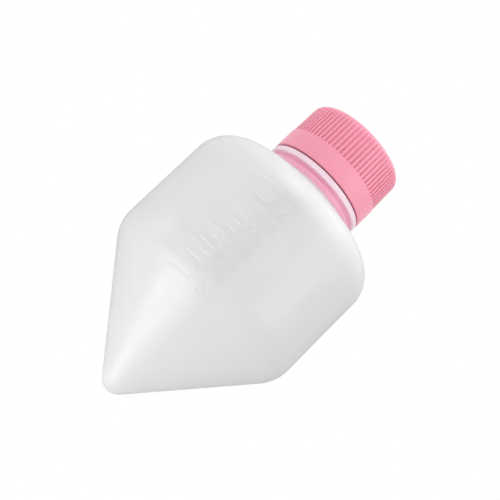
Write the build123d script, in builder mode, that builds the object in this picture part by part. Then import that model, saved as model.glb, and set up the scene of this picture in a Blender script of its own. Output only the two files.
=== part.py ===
"""Conical-bottom centrifuge bottle, 500 mL, with a screw cap, a plug insert and a seal ring.

Millimetres, +Z up from the cone's tip to the cap. The origin is the outside of the tip, on the
bottle's axis. The raised volume scale faces -Y. The cap unscrews by turning about +Z, and rises by
THREAD_PITCH in each turn.
"""

from build123d import *
import os
from math import asin, atan2, cos, degrees, hypot, pi, radians, sin, sqrt, tan

os.makedirs("parts", exist_ok=True)

# Bottle body
BARREL_R = 48.0
WALL = 1.2
TIP_R = 7.1
CONE_ANGLE = 39.6  # between the cone's wall and the axis
CONE_ROUND_R = 17.6
BARREL_TOP = 101.5
SHOULDER_R = 14.0
SHOULDER_SLOPE = 21.5  # above the horizontal

# Neck
NECK_R = 23.5
NECK_WALL = 1.9
RING_R = 24.9
RING_BOTTOM = 124.7
RING_TOP = 127.5
FINISH_R = 21.5  # the neck between its thread's turns
MOUTH_R = FINISH_R - NECK_WALL
RIM_Z = 151.6
NECK_ROUND = 0.7  # of every corner from the shoulder to the rim
NECK_APPROACH = 2.0  # where the shoulder's line gives way to the neck's, outside the neck

# Thread, the same form on the neck and inside the cap
THREAD_PITCH = 4.2
THREAD_DEPTH = 1.1
THREAD_ROOT_WIDTH = 1.7
THREAD_CREST_WIDTH = 0.8
THREAD_BITE = 0.4  # how far a thread's section reaches into its wall
NECK_THREAD_TURNS = 3.75
NECK_THREAD_START = 132.0
CAP_THREAD_TURNS = 3.0

# Volume scale
SCALE_PROUD = 0.3
SCALE_BITE = 0.4
SCALE_DROP = 1.1  # of every mark below the height that the wall's outline gives for its volume
MARK_R = 0.41  # of the round bead that each mark is the top of
MARK_END = 0.5  # degrees from -Y towards +X, where every mark ends
LONG_MARK_ARC = 14.5
SHORT_MARK_ARC = 6.75
LABEL_CENTRE = 7.65  # degrees from -Y towards +X
FIRST_LABEL_ML = 100
LAST_LABEL_ML = 450
LABEL_STEP_ML = 50
LAST_MARK_ML = 475
DIGIT_HEIGHT = 4.3
DIGIT_WIDTH = 2.6
DIGIT_PITCH = 3.9
DIGIT_STROKE = 0.6
DIGIT_REACH = 3.0  # of the strokes' solid, in front of the wall and behind it
FILL_STEP = 0.02  # height of the slices that volumes are added up from

# Cap shell
CAP_BOTTOM = 128.0
CAP_TOP = 155.8
BAND_R = 25.0
BAND_TOP = 137.9
BAND_ROUND = 0.45
KNURL_R = 24.75  # at the band
KNURL_TOP_R = 24.5  # at the start of the top's rounding
CAP_TOP_ROUND = 3.8
CAP_BORE_R = 22.9
CAP_TOP_WALL = 1.9
KNURL_COUNT = 72
KNURL_DEPTH = 0.85
KNURL_WIDTH = 1.05
KNURL_CUT = 4.0  # radial length of the tool that cuts a groove
RETAINER_R = 22.0
RETAINER_BOTTOM = 151.75
RETAINER_HEIGHT = 0.5

# Plug insert and seal ring
PLUG_GAP = 0.1  # between the plug and the mouth or the cap's top
PLUG_FLANGE_R = CAP_BORE_R - 0.3
PLUG_FLANGE = 1.3
PLUG_REACH = 5.4  # below the rim
PLUG_SKIRT_WALL = 1.4
PLUG_LEAD = 0.7
SEAL_GAP = 0.08
SEAL_WIDTH = 1.6
SEAL_ROUND = 0.25


def meridian(azimuth):
    """The half plane through the axis at an azimuth in degrees from -Y towards +X."""
    turn = radians(azimuth)
    return Plane(
        origin=(0, 0, 0),
        x_dir=(sin(turn), -cos(turn), 0),
        z_dir=(-cos(turn), -sin(turn), 0),
    )


# The body's outline is an arc at the tip, the cone's line, an arc to the barrel, the barrel's
# line, an arc to the shoulder and the shoulder's line. An inset moves all of it inwards, so the
# arcs keep their centres.
CONE_NORMAL = -CONE_ANGLE
SHOULDER_NORMAL = 90 - SHOULDER_SLOPE
ROUND_CENTRE_R = BARREL_R - CONE_ROUND_R
BARREL_BOTTOM = (
    cos(radians(CONE_ANGLE)) * ROUND_CENTRE_R
    + CONE_ROUND_R
    - TIP_R * (1 - sin(radians(CONE_ANGLE)))
) / sin(radians(CONE_ANGLE))
TIP_CENTRE = (0, TIP_R)
ROUND_CENTRE = (ROUND_CENTRE_R, BARREL_BOTTOM)
SHOULDER_CENTRE = (BARREL_R - SHOULDER_R, BARREL_TOP)


def on_arc(centre, radius, normal):
    """The point of an arc where its outward normal is at an angle in degrees above +X."""
    turn = radians(normal)
    return (centre[0] + radius * cos(turn), centre[1] + radius * sin(turn))


def shoulder_end(inset, end_r):
    """Where the shoulder's line, moved inwards, reaches a radius."""
    start_r, start_z = on_arc(SHOULDER_CENTRE, SHOULDER_R - inset, SHOULDER_NORMAL)
    return (end_r, start_z + (start_r - end_r) * tan(radians(SHOULDER_SLOPE)))


def draw_body_outline(inset, end_r):
    """Draws the outline from the axis to a radius on the shoulder, and returns its end."""
    tip = TIP_R - inset
    cone_round = CONE_ROUND_R - inset
    shoulder = SHOULDER_R - inset
    end = shoulder_end(inset, end_r)
    ThreePointArc(
        on_arc(TIP_CENTRE, tip, -90),
        on_arc(TIP_CENTRE, tip, (CONE_NORMAL - 90) / 2),
        on_arc(TIP_CENTRE, tip, CONE_NORMAL),
    )
    Line(
        on_arc(TIP_CENTRE, tip, CONE_NORMAL),
        on_arc(ROUND_CENTRE, cone_round, CONE_NORMAL),
    )
    ThreePointArc(
        on_arc(ROUND_CENTRE, cone_round, CONE_NORMAL),
        on_arc(ROUND_CENTRE, cone_round, CONE_NORMAL / 2),
        on_arc(ROUND_CENTRE, cone_round, 0),
    )
    Line(on_arc(ROUND_CENTRE, cone_round, 0), on_arc(SHOULDER_CENTRE, shoulder, 0))
    ThreePointArc(
        on_arc(SHOULDER_CENTRE, shoulder, 0),
        on_arc(SHOULDER_CENTRE, shoulder, SHOULDER_NORMAL / 2),
        on_arc(SHOULDER_CENTRE, shoulder, SHOULDER_NORMAL),
    )
    Line(on_arc(SHOULDER_CENTRE, shoulder, SHOULDER_NORMAL), end)
    return end


def wall_at(z, inset):
    """The outline's radius at a height, and its normal's angle in degrees above the horizontal."""
    tip_r, tip_z = on_arc(TIP_CENTRE, TIP_R - inset, CONE_NORMAL)
    round_z = on_arc(ROUND_CENTRE, CONE_ROUND_R - inset, CONE_NORMAL)[1]
    if z < tip_z:
        rise = z - TIP_R
        radius = TIP_R - inset
        return sqrt(max(radius**2 - rise**2, 0)), degrees(asin(max(rise / radius, -1)))
    if z < round_z:
        return tip_r + (z - tip_z) * tan(radians(CONE_ANGLE)), CONE_NORMAL
    if z < BARREL_BOTTOM:
        rise = z - BARREL_BOTTOM
        radius = CONE_ROUND_R - inset
        return ROUND_CENTRE[0] + sqrt(radius**2 - rise**2), degrees(asin(rise / radius))
    if z < BARREL_TOP:
        return BARREL_R - inset, 0
    rise = z - BARREL_TOP
    radius = SHOULDER_R - inset
    return SHOULDER_CENTRE[0] + sqrt(radius**2 - rise**2), degrees(asin(rise / radius))


def mark_height(millilitres):
    """The height of a volume's mark, a little under the surface of that much liquid."""
    z = WALL
    volume = 0
    while volume < millilitres * 1000:
        volume += pi * wall_at(z + FILL_STEP / 2, WALL)[0] ** 2 * FILL_STEP
        z += FILL_STEP
    return z - SCALE_DROP


# Strokes of the scale's digits, in a box 1 wide and 1 high
DIGITS = {
    "0": [(0, 0.25), (0.3, 0), (0.7, 0), (1, 0.25), (1, 0.75), (0.7, 1), (0.3, 1), (0, 0.75), (0, 0.25)],
    "1": [(0.2, 0.75), (0.6, 1), (0.6, 0)],
    "2": [(0, 0.75), (0.3, 1), (0.7, 1), (1, 0.75), (1, 0.6), (0, 0), (1, 0)],
    "3": [(0, 1), (1, 1), (0.45, 0.6), (0.7, 0.6), (1, 0.4), (1, 0.2), (0.7, 0), (0.25, 0), (0, 0.15)],
    "4": [(0.75, 0), (0.75, 1), (0, 0.3), (1, 0.3)],
    "5": [(0.95, 1), (0.1, 1), (0.05, 0.55), (0.7, 0.6), (1, 0.4), (1, 0.2), (0.7, 0), (0, 0)],
}


def draw_label(text):
    """Draws a number's strokes, centred on the sketch's origin."""
    first = -DIGIT_PITCH * (len(text) - 1) / 2 - DIGIT_WIDTH / 2
    for place, digit in enumerate(text):
        left = first + DIGIT_PITCH * place
        points = [(left + x * DIGIT_WIDTH, (y - 0.5) * DIGIT_HEIGHT) for x, y in DIGITS[digit]]
        for (x1, y1), (x2, y2) in zip(points, points[1:]):
            with Locations(((x1 + x2) / 2, (y1 + y2) / 2)):
                SlotCenterToCenter(
                    hypot(x2 - x1, y2 - y1),
                    DIGIT_STROKE,
                    rotation=degrees(atan2(y2 - y1, x2 - x1)),
                )


def draw_mark(z):
    """Draws the round section of a raised mark on the outside of the wall at a height."""
    radius, normal = wall_at(z, 0)
    with Locations(on_arc((radius, z), SCALE_PROUD - MARK_R, normal)):
        Circle(MARK_R)


def draw_thread_section(side):
    """Draws a thread's section; side is 1 when its crest points away from the axis, -1 inwards."""
    flank = (THREAD_ROOT_WIDTH - THREAD_CREST_WIDTH) / 2 / THREAD_DEPTH
    bite_width = THREAD_ROOT_WIDTH + 2 * flank * THREAD_BITE
    with BuildLine() as section:
        Polyline(
            (-side * THREAD_BITE, -bite_width / 2),
            (side * THREAD_DEPTH, -THREAD_CREST_WIDTH / 2),
            (side * THREAD_DEPTH, THREAD_CREST_WIDTH / 2),
            (-side * THREAD_BITE, bite_width / 2),
            close=True,
        )
    make_face(section.edges())


# Raised marks and numbers of the volume scale, as they stand on the body
with BuildPart() as marks:
    for millilitres in range(FIRST_LABEL_ML, LAST_MARK_ML + 1, LABEL_STEP_ML // 2):
        is_long = millilitres % LABEL_STEP_ML == 0
        arc = LONG_MARK_ARC if is_long else SHORT_MARK_ARC
        with BuildSketch(meridian(MARK_END - arc)):
            draw_mark(mark_height(millilitres))
        revolve(axis=Axis.Z, revolution_arc=arc)

with BuildPart() as labels:
    for millilitres in range(FIRST_LABEL_ML, LAST_LABEL_ML + 1, LABEL_STEP_ML):
        height = mark_height(millilitres)
        wall_r, wall_normal = wall_at(height, 0)
        facing = radians(LABEL_CENTRE)
        out = Vector(sin(facing), -cos(facing), 0)
        tilt = radians(wall_normal)
        front = Plane(
            origin=out * wall_r + Vector(0, 0, height),
            x_dir=(cos(facing), sin(facing), 0),
            z_dir=out * cos(tilt) + Vector(0, 0, sin(tilt)),
        )
        with BuildSketch(front):
            draw_label(str(millilitres))
        extrude(amount=DIGIT_REACH, both=True)

# The layer that the numbers keep, from inside the wall to their raised faces
with BuildPart() as skin:
    with BuildSketch(meridian(0)):
        with BuildLine():
            outer_end = draw_body_outline(-SCALE_PROUD, ROUND_CENTRE_R)
            inner_end = draw_body_outline(SCALE_BITE, ROUND_CENTRE_R)
            Line(outer_end, inner_end)
            Line(on_arc(TIP_CENTRE, TIP_R + SCALE_PROUD, -90), on_arc(TIP_CENTRE, TIP_R - SCALE_BITE, -90))
        make_face()
    revolve(axis=Axis.Z)
raised_numbers = labels.part & skin.part


# Bottle: body, neck, ring, thread and scale are one moulding
with BuildPart() as bottle:
    with BuildSketch(meridian(0)):
        with BuildLine():
            inner_neck_r = NECK_R - NECK_WALL
            FilletPolyline(
                draw_body_outline(0, NECK_R + NECK_APPROACH),
                shoulder_end(0, NECK_R),
                (NECK_R, RING_BOTTOM),
                (RING_R, RING_BOTTOM),
                (RING_R, RING_TOP),
                (FINISH_R, RING_TOP),
                (FINISH_R, RIM_Z),
                (MOUTH_R, RIM_Z),
                (MOUTH_R, RING_TOP),
                (inner_neck_r, RING_BOTTOM),
                shoulder_end(WALL, inner_neck_r),
                draw_body_outline(WALL, inner_neck_r + NECK_APPROACH),
                radius=NECK_ROUND,
            )
            Line(on_arc(TIP_CENTRE, TIP_R, -90), on_arc(TIP_CENTRE, TIP_R - WALL, -90))
        make_face()
    revolve(axis=Axis.Z)
    neck_helix = Helix(
        pitch=THREAD_PITCH,
        height=THREAD_PITCH * NECK_THREAD_TURNS,
        radius=FINISH_R,
        center=(0, 0, NECK_THREAD_START),
        mode=Mode.PRIVATE,
    )
    with BuildSketch(Plane(origin=neck_helix @ 0, x_dir=(1, 0, 0), z_dir=neck_helix % 0)):
        draw_thread_section(1)
    sweep(path=neck_helix, is_frenet=True)
    add(marks.part)
    add(raised_numbers)
bottle.part.label = "bottle"
export_step(bottle.part, "parts/bottle.step")


# Cap shell: smooth band, knurled skirt, closed top, thread and the bead that holds the plug in
with BuildPart() as cap_shell:
    with BuildSketch(meridian(0)):
        with BuildLine():
            Polyline(
                (CAP_BORE_R, CAP_BOTTOM),
                (BAND_R, CAP_BOTTOM),
                (BAND_R, BAND_TOP),
                (KNURL_R, BAND_TOP),
                (KNURL_TOP_R, CAP_TOP - CAP_TOP_ROUND),
            )
            Polyline(
                (KNURL_TOP_R - CAP_TOP_ROUND, CAP_TOP),
                (0, CAP_TOP),
                (0, CAP_TOP - CAP_TOP_WALL),
                (CAP_BORE_R, CAP_TOP - CAP_TOP_WALL),
                (CAP_BORE_R, RETAINER_BOTTOM + RETAINER_HEIGHT),
                (RETAINER_R, RETAINER_BOTTOM + RETAINER_HEIGHT),
                (CAP_BORE_R, RETAINER_BOTTOM - RETAINER_HEIGHT),
                (CAP_BORE_R, CAP_BOTTOM),
            )
            ThreePointArc(
                (KNURL_TOP_R, CAP_TOP - CAP_TOP_ROUND),
                on_arc((KNURL_TOP_R - CAP_TOP_ROUND, CAP_TOP - CAP_TOP_ROUND), CAP_TOP_ROUND, 45),
                (KNURL_TOP_R - CAP_TOP_ROUND, CAP_TOP),
            )
        make_face()
    revolve(axis=Axis.Z)
    fillet(cap_shell.edges().filter_by(GeomType.CIRCLE).group_by(Axis.Z)[0], radius=BAND_ROUND)
    with BuildSketch(Plane.XY.offset(BAND_TOP)):
        with PolarLocations(KNURL_R - KNURL_DEPTH + KNURL_CUT / 2, KNURL_COUNT):
            SlotOverall(KNURL_CUT, KNURL_WIDTH)
    extrude(amount=CAP_TOP - BAND_TOP, mode=Mode.SUBTRACT)
    cap_helix = Helix(
        pitch=THREAD_PITCH,
        height=THREAD_PITCH * CAP_THREAD_TURNS,
        radius=CAP_BORE_R,
        center=(0, 0, NECK_THREAD_START + THREAD_PITCH / 2),
        mode=Mode.PRIVATE,
    )
    with BuildSketch(Plane(origin=cap_helix @ 0, x_dir=(1, 0, 0), z_dir=cap_helix % 0)):
        draw_thread_section(-1)
    sweep(path=cap_helix, is_frenet=True)
cap_shell.part.label = "cap_shell"
export_step(cap_shell.part, "parts/cap_shell.step")


# Plug insert: a flange under the cap's top, and a skirt that plugs the mouth
flange_top = CAP_TOP - CAP_TOP_WALL - PLUG_GAP
flange_bottom = flange_top - PLUG_FLANGE
plug_r = MOUTH_R - PLUG_GAP
plug_end = RIM_Z - PLUG_REACH
with BuildPart() as seal_plug:
    with BuildSketch(meridian(0)):
        with BuildLine():
            Polyline(
                (0, flange_top),
                (PLUG_FLANGE_R, flange_top),
                (PLUG_FLANGE_R, flange_bottom),
                (plug_r, flange_bottom),
                (plug_r, plug_end + PLUG_LEAD),
                (plug_r - PLUG_LEAD, plug_end),
                (plug_r - PLUG_SKIRT_WALL, plug_end),
                (plug_r - PLUG_SKIRT_WALL, flange_bottom),
                (0, flange_bottom),
                close=True,
            )
        make_face()
    revolve(axis=Axis.Z)
seal_plug.part.label = "seal_plug"
export_step(seal_plug.part, "parts/seal_plug.step")


# Seal ring: lies between the flange and the rim
seal_bottom = RIM_Z + SEAL_GAP
seal_middle = plug_r + PLUG_GAP + SEAL_WIDTH / 2
with BuildPart() as seal_ring:
    with BuildSketch(meridian(0)):
        with Locations((seal_middle, (seal_bottom + flange_bottom) / 2)):
            RectangleRounded(SEAL_WIDTH, flange_bottom - seal_bottom, SEAL_ROUND)
    revolve(axis=Axis.Z)
seal_ring.part.label = "seal_ring"
export_step(seal_ring.part, "parts/seal_ring.step")
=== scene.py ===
"""Looks for the 500 mL conical centrifuge bottle: materials, studio and camera. Metres."""

import bpy
from math import cos, radians, sin
from mathutils import Matrix, Vector


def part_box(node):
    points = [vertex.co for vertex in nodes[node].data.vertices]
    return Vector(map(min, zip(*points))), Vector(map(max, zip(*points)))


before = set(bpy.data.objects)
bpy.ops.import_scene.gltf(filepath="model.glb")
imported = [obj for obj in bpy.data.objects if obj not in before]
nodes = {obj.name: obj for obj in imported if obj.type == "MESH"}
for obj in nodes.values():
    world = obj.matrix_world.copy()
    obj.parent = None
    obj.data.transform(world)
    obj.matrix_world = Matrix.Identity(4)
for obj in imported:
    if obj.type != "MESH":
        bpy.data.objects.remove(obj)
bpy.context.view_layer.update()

cap_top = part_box("cap_shell")[1].z
object_middle = Vector((0, 0, cap_top / 2))

# Camera: it looks up at the upright bottle from the cone's side, and is rolled so that the cap
# points up right in the picture
CAMERA_AZIMUTH = 12.25
CAMERA_ELEVATION = -15.07
AXIS_ANGLE = 44.13  # of the bottle's axis above the picture's horizontal
CAMERA_DISTANCE = 0.603
CAMERA_LENS = 100.52
CLIP_NEAR = 0.01
CLIP_FAR = 100
AIM_HEIGHT = 0.08
AIM_RIGHT = -0.00429
AIM_UP = -0.00442

# Noise: nearly all of its values lie between these
NOISE_LOW = 0.3
NOISE_HIGH = 0.7
CLOUD_DETAIL = 3.0
WAVE_DETAIL = 1.0

# Milky polypropylene. Each pair is the two ends of a range that noise mixes.
MILKY_CLOUD = 0.02  # size of the cloudy patches
MILKY_WAVE = 0.03  # size of the blown wall's waves
MILKY_GRAIN = 0.0008
MILKY_WAVE_DEPTH = 0.0004
MILKY_GRAIN_DEPTH = 0.00001
MILKY_TINTS = (0.965, 0.97, 0.97), (0.98, 0.98, 0.975)
MILKY_ROUGHNESS = 0.285, 0.33
MILKY_IOR = 1.49
MILKY_SCATTER = 0.003  # how far light goes inside the wall
# A faintly grey coat that hardly bends light, so that the wall darkens where it is seen edge on
EDGE_IOR = 1.005
EDGE_ROUGHNESS = 0.3
EDGE_TINT = (0.965, 0.965, 0.965, 1)

# Painted light: the pink that the cap's light gives the neck and the ring below it, painted into
# the wall's colour by height. Each stop is a height and a colour.
PAINTED_CAP_LIGHT_PINKS = [
    (0.1192, (1, 1, 1)),
    (0.1202, (0.99, 0.72, 0.79)),
    (0.1212, (0.97, 0.38, 0.53)),
    (0.1225, (0.98, 0.50, 0.63)),
    (0.1236, (0.96, 0.33, 0.49)),
    (0.1246, (0.98, 0.60, 0.70)),
    (0.1252, (0.88, 0.71, 0.79)),
    (0.1268, (0.87, 0.67, 0.76)),
    (0.1275, (0.98, 0.58, 0.69)),
    (0.1279, (0.98, 0.65, 0.74)),
    (0.1283, (1, 1, 1)),
]
# How clear the wall is, as a grey at each height; it is thicker from the shoulder to the ring
CLEARNESS = [
    (0.095, (0.38, 0.38, 0.38)),
    (0.1185, (0.2, 0.2, 0.2)),
    (0.1215, (0.1, 0.1, 0.1)),
    (0.1279, (0.1, 0.1, 0.1)),
    (0.1283, (0.38, 0.38, 0.38)),
]

# Pink polyethylene of the cap
PINK_CLOUD = 0.012
PINK_GRAIN = 0.0005
PINK_GRAIN_DEPTH = 0.000004
PINK_TINTS = (0.71, 0.24, 0.325), (0.74, 0.265, 0.355)
PINK_ROUGHNESS = 0.32, 0.42

# Natural polyethylene of the plug
NATURAL_CLOUD = 0.008
NATURAL_GRAIN = 0.0006
NATURAL_GRAIN_DEPTH = 0.00001
NATURAL_TINTS = (0.86, 0.86, 0.83), (0.90, 0.90, 0.88)
NATURAL_ROUGHNESS = 0.35, 0.5
NATURAL_SCATTER = 0.002

# Silicone of the seal ring
SILICONE_GRAIN = 0.0004
SILICONE_GRAIN_DEPTH = 0.00002
SILICONE_TINTS = (0.76, 0.76, 0.74), (0.82, 0.82, 0.80)
SILICONE_ROUGHNESS = 0.5, 0.65

# Studio: white, and darkest on the side given by rightward, upward and towards the camera
WORLD_BRIGHT = 1.0
WORLD_DARK = 0.70
DARK_SIDE = (0, -0.82, 0.57)
BRIGHT_WITHIN = 0.4  # cosine of the angle from the opposite side where the white gives way

# Floor
FLOOR_DROP = 0.6  # below the tip, because the camera looks up
FLOOR_HALF = 15.0
FLOOR_GREY = (0.9, 0.9, 0.9, 1)
FLOOR_ROUGHNESS = 0.8

# Round soft lights: name; rightward, upward and forward from the bottle's middle; width; watts
SOFTBOXES = [
    ("left", (-0.51, -0.18, 0.3), 0.45, 1.7),
    ("above", (0.5, 0.8, 0.3), 0.6, 2.55),
    ("right", (0.9, 0.2, 0.4), 0.6, 2.05),
    ("below", (0.8, -0.4, 0.4), 0.6, 1.2),
    ("upper left", (-0.65, 0.65, 0.1), 0.45, 0.9),
    ("behind", (0.9, 0.4, -0.2), 0.6, 1.5),
]


def camera_axes():
    """The picture's right and up directions, and the direction from the bottle to the camera."""
    azimuth, elevation, roll = map(radians, (CAMERA_AZIMUTH, CAMERA_ELEVATION, AXIS_ANGLE))
    level = cos(elevation)
    back = Vector((sin(azimuth) * level, -cos(azimuth) * level, sin(elevation)))
    across = Vector((cos(azimuth), sin(azimuth), 0))
    along = back.cross(across)
    right = along * cos(roll) + across * sin(roll)
    up = along * sin(roll) - across * cos(roll)
    return right, up, back


def picture_direction(rightward, upward, forward):
    """A direction given along the picture's axes; forward is towards the camera."""
    right, up, back = camera_axes()
    return right * rightward + up * upward + back * forward


def make_camera():
    right, up, back = camera_axes()
    aim = Vector((0, 0, AIM_HEIGHT)) - right * AIM_RIGHT - up * AIM_UP
    data = bpy.data.cameras.new("camera")
    data.lens = CAMERA_LENS
    data.clip_start = CLIP_NEAR
    data.clip_end = CLIP_FAR
    camera = bpy.data.objects.new("camera", data)
    turn = Matrix((right, up, back)).transposed().to_4x4()
    camera.matrix_world = Matrix.Translation(aim + back * CAMERA_DISTANCE) @ turn
    bpy.context.scene.collection.objects.link(camera)
    bpy.context.scene.camera = camera


def new_material(name):
    material = bpy.data.materials.new(name)
    material.use_nodes = True
    tree = material.node_tree
    return material, tree, tree.nodes["Principled BSDF"]


def add_noise(tree, size, detail=CLOUD_DETAIL):
    """Noise whose features are about this many metres across."""
    coordinates = tree.nodes.new("ShaderNodeTexCoord")
    noise = tree.nodes.new("ShaderNodeTexNoise")
    noise.inputs["Scale"].default_value = 1 / size
    noise.inputs["Detail"].default_value = detail
    tree.links.new(coordinates.outputs["Object"], noise.inputs["Vector"])
    return noise.outputs["Fac"]


def add_range(tree, value, low, high):
    """Noise spread over the range from low to high."""
    spread = tree.nodes.new("ShaderNodeMapRange")
    spread.inputs["From Min"].default_value = NOISE_LOW
    spread.inputs["From Max"].default_value = NOISE_HIGH
    spread.inputs["To Min"].default_value = low
    spread.inputs["To Max"].default_value = high
    tree.links.new(value, spread.inputs["Value"])
    return spread.outputs["Result"]


def add_tint(tree, value, first, second):
    """A colour that noise mixes from two."""
    mix = tree.nodes.new("ShaderNodeMix")
    mix.data_type = "RGBA"
    mix.inputs["A"].default_value = (*first, 1)
    mix.inputs["B"].default_value = (*second, 1)
    tree.links.new(add_range(tree, value, 0, 1), mix.inputs["Factor"])
    return mix.outputs["Result"]


def add_product(tree, first, second):
    """Two colours multiplied."""
    mix = tree.nodes.new("ShaderNodeMix")
    mix.data_type = "RGBA"
    mix.blend_type = "MULTIPLY"
    mix.inputs["Factor"].default_value = 1
    tree.links.new(first, mix.inputs["A"])
    tree.links.new(second, mix.inputs["B"])
    return mix.outputs["Result"]


def add_bump(tree, height, depth, below=None):
    """Bump of this many metres, on top of another one's normal."""
    bump = tree.nodes.new("ShaderNodeBump")
    bump.inputs["Distance"].default_value = depth
    tree.links.new(height, bump.inputs["Height"])
    if below:
        tree.links.new(below, bump.inputs["Normal"])
    return bump.outputs["Normal"]


def add_height_ramp(tree, stops):
    """A colour that changes along the bottle's axis, from pairs of a height and a colour."""
    low, high = stops[0][0], stops[-1][0]
    coordinates = tree.nodes.new("ShaderNodeTexCoord")
    split = tree.nodes.new("ShaderNodeSeparateXYZ")
    spread = tree.nodes.new("ShaderNodeMapRange")
    spread.inputs["From Min"].default_value = low
    spread.inputs["From Max"].default_value = high
    ramp = tree.nodes.new("ShaderNodeValToRGB")
    elements = ramp.color_ramp.elements
    elements[0].color = (*stops[0][1], 1)
    elements[1].color = (*stops[-1][1], 1)
    for height, colour in stops[1:-1]:
        elements.new((height - low) / (high - low)).color = (*colour, 1)
    tree.links.new(coordinates.outputs["Object"], split.inputs["Vector"])
    tree.links.new(split.outputs["Z"], spread.inputs["Value"])
    tree.links.new(spread.outputs["Result"], ramp.inputs["Fac"])
    return ramp.outputs["Color"]


def scatter_light(shader, distance):
    """Lets light scatter this many metres inside the material, every colour alike."""
    shader.inputs["Subsurface Weight"].default_value = 1
    shader.inputs["Subsurface Radius"].default_value = (1, 1, 1)
    shader.inputs["Subsurface Scale"].default_value = distance


def make_polypropylene():
    material, tree, shader = new_material("translucent_polypropylene")
    cloud = add_noise(tree, MILKY_CLOUD)
    wave = add_noise(tree, MILKY_WAVE, WAVE_DETAIL)
    grain = add_noise(tree, MILKY_GRAIN)
    clearness = add_height_ramp(tree, CLEARNESS)
    tree.links.new(clearness, shader.inputs["Transmission Weight"])
    shader.inputs["IOR"].default_value = MILKY_IOR
    shader.inputs["Coat Weight"].default_value = 1
    shader.inputs["Coat Roughness"].default_value = EDGE_ROUGHNESS
    shader.inputs["Coat IOR"].default_value = EDGE_IOR
    shader.inputs["Coat Tint"].default_value = EDGE_TINT
    scatter_light(shader, MILKY_SCATTER)
    tint = add_tint(tree, cloud, *MILKY_TINTS)
    # Painted light: the cap's pink light on the neck and ring, painted into the base colour by
    # height
    painted_cap_light = add_height_ramp(tree, PAINTED_CAP_LIGHT_PINKS)
    tree.links.new(add_product(tree, tint, painted_cap_light), shader.inputs["Base Color"])
    tree.links.new(add_range(tree, cloud, *MILKY_ROUGHNESS), shader.inputs["Roughness"])
    waviness = add_bump(tree, wave, MILKY_WAVE_DEPTH)
    surface = add_bump(tree, grain, MILKY_GRAIN_DEPTH, waviness)
    tree.links.new(surface, shader.inputs["Normal"])
    return material


def make_pink_plastic():
    material, tree, shader = new_material("pink_polyethylene")
    cloud = add_noise(tree, PINK_CLOUD)
    grain = add_noise(tree, PINK_GRAIN)
    tree.links.new(add_tint(tree, cloud, *PINK_TINTS), shader.inputs["Base Color"])
    tree.links.new(add_range(tree, cloud, *PINK_ROUGHNESS), shader.inputs["Roughness"])
    tree.links.new(add_bump(tree, grain, PINK_GRAIN_DEPTH), shader.inputs["Normal"])
    return material


def make_natural_plastic():
    material, tree, shader = new_material("natural_polyethylene")
    cloud = add_noise(tree, NATURAL_CLOUD)
    grain = add_noise(tree, NATURAL_GRAIN)
    tree.links.new(add_tint(tree, cloud, *NATURAL_TINTS), shader.inputs["Base Color"])
    scatter_light(shader, NATURAL_SCATTER)
    tree.links.new(add_range(tree, grain, *NATURAL_ROUGHNESS), shader.inputs["Roughness"])
    tree.links.new(add_bump(tree, grain, NATURAL_GRAIN_DEPTH), shader.inputs["Normal"])
    return material


def make_silicone():
    material, tree, shader = new_material("silicone")
    grain = add_noise(tree, SILICONE_GRAIN)
    tree.links.new(add_tint(tree, grain, *SILICONE_TINTS), shader.inputs["Base Color"])
    tree.links.new(add_range(tree, grain, *SILICONE_ROUGHNESS), shader.inputs["Roughness"])
    tree.links.new(add_bump(tree, grain, SILICONE_GRAIN_DEPTH), shader.inputs["Normal"])
    return material


def dress(node, material):
    node.data.materials.clear()
    node.data.materials.append(material)


def make_world():
    """A white studio that gets darker towards the picture's lower side, in front."""
    world = bpy.data.worlds.new("studio")
    world.use_nodes = True
    tree = world.node_tree
    background = tree.nodes["Background"]
    coordinates = tree.nodes.new("ShaderNodeTexCoord")
    facing = tree.nodes.new("ShaderNodeVectorMath")
    facing.operation = "DOT_PRODUCT"
    facing.inputs[1].default_value = -picture_direction(*DARK_SIDE).normalized()
    spread = tree.nodes.new("ShaderNodeMapRange")
    spread.inputs["From Min"].default_value = -1
    spread.inputs["From Max"].default_value = BRIGHT_WITHIN
    spread.inputs["To Min"].default_value = WORLD_DARK
    spread.inputs["To Max"].default_value = WORLD_BRIGHT
    tree.links.new(coordinates.outputs["Generated"], facing.inputs[0])
    tree.links.new(facing.outputs["Value"], spread.inputs["Value"])
    tree.links.new(spread.outputs["Result"], background.inputs["Color"])
    bpy.context.scene.world = world
    bpy.context.scene.view_settings.view_transform = "Standard"


def make_floor():
    mesh = bpy.data.meshes.new("floor")
    signs = [(-1, -1), (1, -1), (1, 1), (-1, 1)]
    corners = [(x * FLOOR_HALF, y * FLOOR_HALF, -FLOOR_DROP) for x, y in signs]
    mesh.from_pydata(corners, [], [(0, 1, 2, 3)])
    floor = bpy.data.objects.new("floor", mesh)
    material, tree, shader = new_material("floor")
    shader.inputs["Base Color"].default_value = FLOOR_GREY
    shader.inputs["Roughness"].default_value = FLOOR_ROUGHNESS
    mesh.materials.append(material)
    bpy.context.scene.collection.objects.link(floor)


def add_softbox(name, offset, width, watts):
    """A round soft light, offset from the bottle's middle along the picture's axes."""
    place = object_middle + picture_direction(*offset)
    data = bpy.data.lights.new(name, "AREA")
    data.shape = "DISK"
    data.size = width
    data.energy = watts
    light = bpy.data.objects.new(name, data)
    light.location = place
    light.rotation_mode = "QUATERNION"
    light.rotation_quaternion = (object_middle - place).to_track_quat("-Z", "Y")
    light.visible_camera = False
    bpy.context.scene.collection.objects.link(light)


make_camera()
dress(nodes["bottle"], make_polypropylene())
dress(nodes["cap_shell"], make_pink_plastic())
dress(nodes["seal_plug"], make_natural_plastic())
dress(nodes["seal_ring"], make_silicone())
make_world()
make_floor()
for softbox in SOFTBOXES:
    add_softbox(*softbox)
